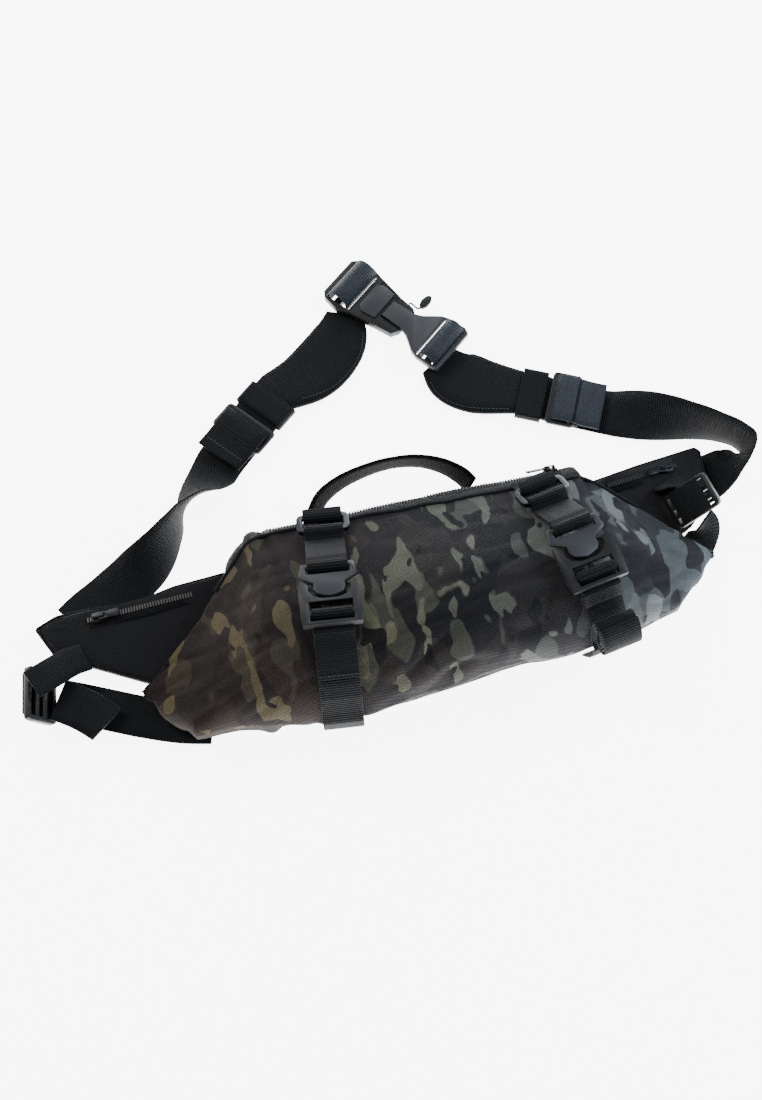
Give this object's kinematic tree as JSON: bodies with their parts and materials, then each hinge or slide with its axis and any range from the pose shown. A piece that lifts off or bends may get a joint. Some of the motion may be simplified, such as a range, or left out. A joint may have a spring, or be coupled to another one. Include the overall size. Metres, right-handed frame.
{
  "type": "sling bag",
  "caption": "Sling bag with a padded back and wings, a zipped main compartment, compression straps, a carry handle and a shoulder strap joined by a magnetic buckle.",
  "frame": {"origin": "middle of the back panel's flat outer face", "axes": "+Z out of the bag's front, +X along the bag towards the end of the right wing, +Y to the bag's top, where the strap is"},
  "size_m": [0.5644, 0.3858, 0.0923],
  "materials": {
    "camo_fabric": "woven camouflage print",
    "black_fabric": "matte woven nylon",
    "spacer_mesh": "spacer mesh",
    "foam": "closed-cell foam",
    "lining": "coated lining",
    "webbing": "ribbed nylon webbing",
    "plastic": "moulded nylon, satin",
    "alloy": "dark satin coating",
    "magnet": "plated"
  },
  "bodies": {
    "bag": {"front_panel": "camo_fabric", "bottom_panel": "black_fabric", "left_side_panel": "camo_fabric", "right_side_panel": "camo_fabric", "main_zip": "black_fabric", "top_panel": "black_fabric", "back_panel": "spacer_mesh", "back_foam": "foam", "inner_pocket": "lining", "left_wing": "black_fabric", "right_wing": "black_fabric", "left_wing_pocket": "black_fabric", "left_wing_zip": "black_fabric", "right_wing_pocket": "black_fabric", "right_wing_zip": "black_fabric", "left_anchor_webbing": "webbing", "left_clip_female": "plastic", "left_lower_webbing": "webbing", "right_anchor_webbing": "webbing", "right_clip_female": "plastic", "right_lower_webbing": "webbing", "right_webbing_roll": "webbing", "left_ladder_lock": "plastic", "left_side_anchor": "webbing", "left_side_webbing": "webbing", "left_side_tail": "webbing", "right_ladder_lock": "plastic", "right_side_anchor": "webbing", "right_side_webbing": "webbing", "left_strap": "webbing", "left_strap_upper": "webbing", "left_bar_loop": "webbing", "right_strap": "webbing", "right_strap_upper": "webbing", "buckle_female": "plastic", "female_magnet": "magnet"},
    "main_zip_slider": {"main_zip_slider": "alloy"},
    "main_zip_pull": {"main_zip_pull": "alloy"},
    "left_wing_slider": {"left_wing_slider": "alloy"},
    "left_wing_pull": {"left_wing_pull": "alloy"},
    "right_wing_slider": {"right_wing_slider": "alloy"},
    "right_wing_pull": {"right_wing_pull": "alloy"},
    "grab_handle": {"grab_handle": "webbing"},
    "left_ring": {"left_strap_ring": "alloy"},
    "right_ring": {"right_strap_ring": "alloy"},
    "left_clip": {"left_upper_webbing": "webbing", "left_clip_male": "plastic"},
    "right_clip": {"right_upper_webbing": "webbing", "right_clip_male": "plastic"},
    "left_keeper": {"left_keeper": "black_fabric"},
    "right_keeper": {"right_keeper": "black_fabric"},
    "left_adjuster": {"left_strap_slider": "plastic", "left_sewn_end": "webbing"},
    "right_adjuster": {"right_strap_slider": "plastic", "right_sewn_end": "webbing"},
    "buckle_male": {"buckle_male": "plastic", "male_magnet": "magnet", "right_bar_loop": "webbing"},
    "buckle_latch": {"buckle_latch": "plastic", "latch_pull": "plastic"}
  },
  "joints": [
    {"name": "main_zip_slide", "type": "slide", "parent": "bag", "child": "main_zip_slider", "axis": [-0.9997, 0.0261, 0], "range_m": [0, 0.212]},
    {"name": "main_zip_pull_hinge", "type": "hinge", "parent": "main_zip_slider", "child": "main_zip_pull", "pos_m": [0.114, 0.05506, 0.03619], "axis": [0.0152, 0.5812, -0.8136], "range_deg": [0, 100]},
    {"name": "left_wing_zip_slide", "type": "slide", "parent": "bag", "child": "left_wing_slider", "axis": [0.9999, 0.0132, 0], "range_m": [0, 0.06]},
    {"name": "left_wing_pull_hinge", "type": "hinge", "parent": "left_wing_slider", "child": "left_wing_pull", "pos_m": [-0.232, 0.0301, 0.01977], "axis": [0.0132, -0.9999, 0], "range_deg": [0, 110]},
    {"name": "right_wing_zip_slide", "type": "slide", "parent": "bag", "child": "right_wing_slider", "axis": [-0.9985, -0.0555, 0], "range_m": [0, 0.0381]},
    {"name": "right_wing_pull_hinge", "type": "hinge", "parent": "right_wing_slider", "child": "right_wing_pull", "pos_m": [0.20401, 0.04056, 0.01977], "axis": [-0.0555, 0.9985, 0], "range_deg": [0, 110]},
    {"name": "handle_hinge", "type": "hinge", "parent": "bag", "child": "grab_handle", "pos_m": [-0.004, 0.0715, 0.024], "axis": [1, 0, 0], "range_deg": [0, 60]},
    {"name": "left_ring_hinge", "type": "hinge", "parent": "bag", "child": "left_ring", "pos_m": [-0.05899, 0.05422, 0.04715], "axis": [-0.9903, 0.1391, 0], "range_deg": [0, 30]},
    {"name": "left_clip_hinge", "type": "hinge", "parent": "left_ring", "child": "left_clip", "pos_m": [-0.06101, 0.03978, 0.05509], "axis": [-0.9903, 0.1391, 0], "range_deg": [0, 80]},
    {"name": "right_ring_hinge", "type": "hinge", "parent": "bag", "child": "right_ring", "pos_m": [0.096, 0.03511, 0.05682], "axis": [-0.9902, -0.1398, 0], "range_deg": [0, 30]},
    {"name": "right_clip_hinge", "type": "hinge", "parent": "right_ring", "child": "right_clip", "pos_m": [0.098, 0.02089, 0.06514], "axis": [-0.9902, -0.1398, 0], "range_deg": [0, 80]},
    {"name": "left_keeper_slide", "type": "slide", "parent": "bag", "child": "left_keeper", "axis": [0.7828, 0.6222, 0], "range_m": [0, 0.007]},
    {"name": "right_keeper_slide", "type": "slide", "parent": "bag", "child": "right_keeper", "axis": [-0.8852, 0.4651, 0], "range_m": [0, 0.007]},
    {"name": "left_adjuster_slide", "type": "slide", "parent": "bag", "child": "left_adjuster", "axis": [0.7828, 0.6222, 0], "range_m": [-0.004, 0.001]},
    {"name": "right_adjuster_slide", "type": "slide", "parent": "bag", "child": "right_adjuster", "axis": [-0.8852, 0.4651, 0], "range_m": [-0.004, 0]},
    {"name": "buckle_release", "type": "slide", "parent": "bag", "child": "buckle_male", "axis": [0, 0, 1], "range_m": [0, 0.025]},
    {"name": "latch_slide", "type": "slide", "parent": "bag", "child": "buckle_latch", "axis": [0.788, 0.6157, 0], "range_m": [0, 0.006], "stiffness_N_per_m": 60}
  ]
}
